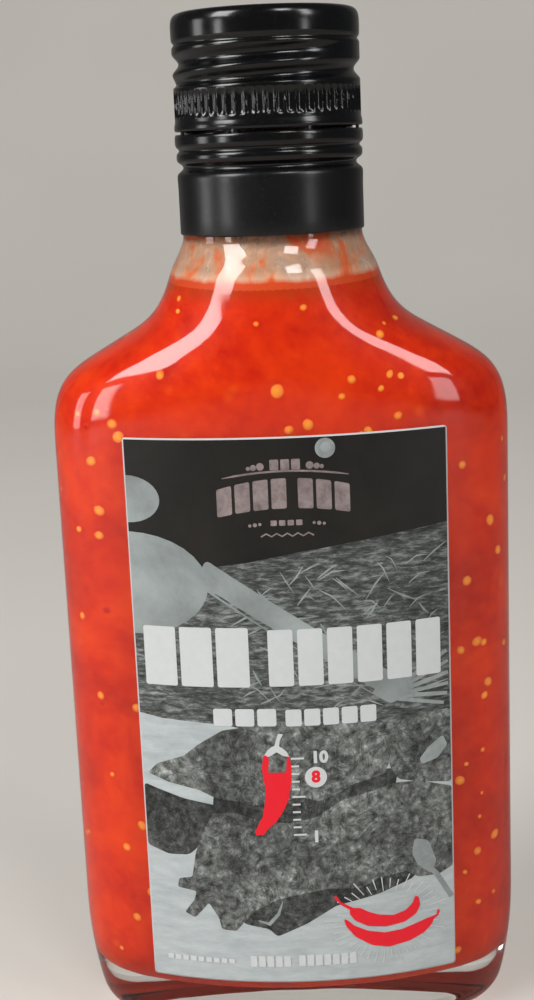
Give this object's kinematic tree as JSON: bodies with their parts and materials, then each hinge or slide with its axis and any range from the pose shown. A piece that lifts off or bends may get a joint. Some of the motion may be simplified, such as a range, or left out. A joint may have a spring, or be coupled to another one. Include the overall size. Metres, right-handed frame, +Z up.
{
  "type": "hot sauce bottle",
  "caption": "Filled clear glass flask bottle of chilli sauce with a black rolled-on screw cap, tamper band and a plain-worded front label.",
  "frame": {"origin": "centre of the bottle's footprint, on the surface it stands on", "axes": "+Z up through the cap, +X across the broad face, label facing -Y"},
  "size_m": [0.0762, 0.0383, 0.1708],
  "materials": {
    "clear_glass": "clear, smooth",
    "chilli_sauce": "thick wet sauce with seeds",
    "black_cap": "black lacquer, glossy above and satin on the skirt",
    "label_paper": "satin printed paper"
  },
  "bodies": {
    "root": {"glass_bottle": "clear_glass", "hot_sauce": "chilli_sauce", "screw_cap": "black_cap", "front_label": "label_paper"}
  },
  "joints": []
}
